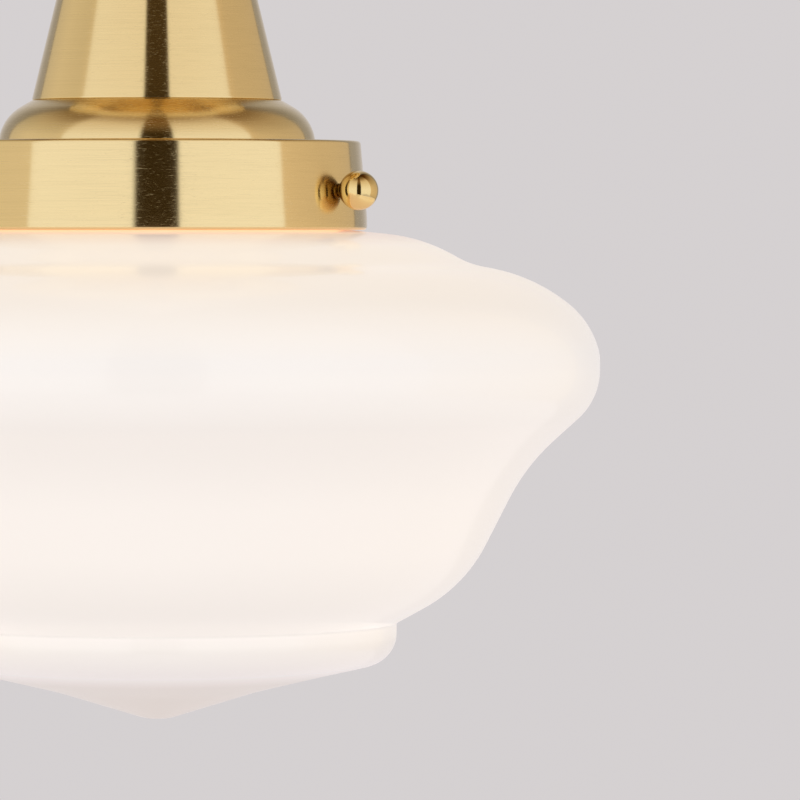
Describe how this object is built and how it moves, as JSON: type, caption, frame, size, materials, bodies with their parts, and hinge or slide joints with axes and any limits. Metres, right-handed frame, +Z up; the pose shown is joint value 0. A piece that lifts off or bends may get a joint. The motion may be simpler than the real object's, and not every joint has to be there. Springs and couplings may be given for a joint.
{
  "type": "semi flush ceiling light",
  "caption": "Semi flush ceiling light: brass canopy, cone neck and shade holder with ball headed thumb screws, and an opal glass schoolhouse shade over a screw-in lamp.",
  "frame": {"origin": "on the ceiling plane, at the middle of the mounting strap's supply hole", "axes": "+Z up into the ceiling along the light's axis; -Y is the front, with a thumb screw 60 degrees to either side of it; the canopy's cap nuts lie on X"},
  "size_m": [0.2414, 0.2412, 0.2481],
  "materials": {
    "satin_brass": "satin, brushed round the axis",
    "polished_brass": "polished",
    "zinc_steel": "zinc plated",
    "green_screw": "green plated",
    "porcelain": "glazed",
    "contact_brass": "bright, pressed",
    "black_insulation": "smooth insulation",
    "white_insulation": "smooth insulation",
    "green_insulation": "smooth insulation",
    "connector_plastic": "moulded, ribbed",
    "opal_glass": "glossy white opal, lit from inside",
    "solder": "dull solder",
    "black_glass": "glossy black glass",
    "cap_aluminium": "rolled thread",
    "frosted_glass": "frosted white",
    "clear_glass": "clear",
    "filament_wire": "drawn wire"
  },
  "bodies": {
    "fixture": {"mounting_strap": "zinc_steel", "canopy_studs": "zinc_steel", "stud_lock_nuts": "zinc_steel", "ground_screw": "green_screw", "canopy": "satin_brass", "centre_tube": "zinc_steel", "ground_ring_terminal": "zinc_steel", "tube_lock_washer": "zinc_steel", "tube_nut": "zinc_steel", "neck_cone": "satin_brass", "neck_cushion": "satin_brass", "shade_holder": "satin_brass", "screw_bushings": "satin_brass", "socket_bracket": "zinc_steel", "bracket_screws": "zinc_steel", "socket_porcelain": "porcelain", "screw_shell": "contact_brass", "centre_contact": "contact_brass", "terminal_plates": "contact_brass", "terminal_screw_line": "contact_brass", "terminal_screw_neutral": "zinc_steel", "lead_line": "black_insulation", "lead_neutral": "white_insulation", "lead_ground": "green_insulation", "wire_connectors": "connector_plastic"},
    "shade": {"glass_shade": "opal_glass"},
    "lamp_carrier": {"bulb_contact": "solder"},
    "lamp": {"bulb_insulator": "black_glass", "bulb_cap": "cap_aluminium", "bulb_glass": "frosted_glass", "bulb_stem": "clear_glass", "bulb_filament": "filament_wire"},
    "cap_nut_right": {"canopy_cap_nut_right": "polished_brass"},
    "cap_nut_left": {"canopy_cap_nut_left": "polished_brass"},
    "thumb_screw_right": {"thumb_screw_right": "polished_brass"},
    "thumb_screw_left": {"thumb_screw_left": "polished_brass"},
    "thumb_screw_back": {"thumb_screw_back": "polished_brass"}
  },
  "joints": [
    {"name": "shade_drop", "type": "slide", "parent": "fixture", "child": "shade", "axis": [0, 0, -1], "range_m": [0, 0.032]},
    {"name": "thumb_screw_right_out", "type": "slide", "parent": "fixture", "child": "thumb_screw_right", "axis": [0.866, -0.5, 0], "range_m": [0, 0.0064]},
    {"name": "thumb_screw_left_out", "type": "slide", "parent": "fixture", "child": "thumb_screw_left", "axis": [-0.866, -0.5, 0], "range_m": [0, 0.0064]},
    {"name": "thumb_screw_back_out", "type": "slide", "parent": "fixture", "child": "thumb_screw_back", "axis": [0, 1, 0], "range_m": [0, 0.0064]},
    {"name": "lamp_travel", "type": "slide", "parent": "fixture", "child": "lamp_carrier", "axis": [0, 0, -1], "range_m": [0, 0.01814]},
    {"name": "lamp_unscrew", "type": "hinge", "parent": "lamp_carrier", "child": "lamp", "pos_m": [0, 0, -0.125], "axis": [0, 0, -1], "range_deg": [0, 1800]},
    {"name": "cap_nut_right_off", "type": "slide", "parent": "fixture", "child": "cap_nut_right", "axis": [0, 0, -1], "range_m": [0, 0.0065]},
    {"name": "cap_nut_left_off", "type": "slide", "parent": "fixture", "child": "cap_nut_left", "axis": [0, 0, -1], "range_m": [0, 0.0065]}
  ],
  "couplings": [
    {"joint": "thumb_screw_right_out", "follows": "shade_drop", "ratio": 0.2},
    {"joint": "thumb_screw_left_out", "follows": "shade_drop", "ratio": 0.2},
    {"joint": "thumb_screw_back_out", "follows": "shade_drop", "ratio": 0.2},
    {"joint": "lamp_unscrew", "follows": "lamp_travel", "rad_per_m": 1731.6}
  ]
}
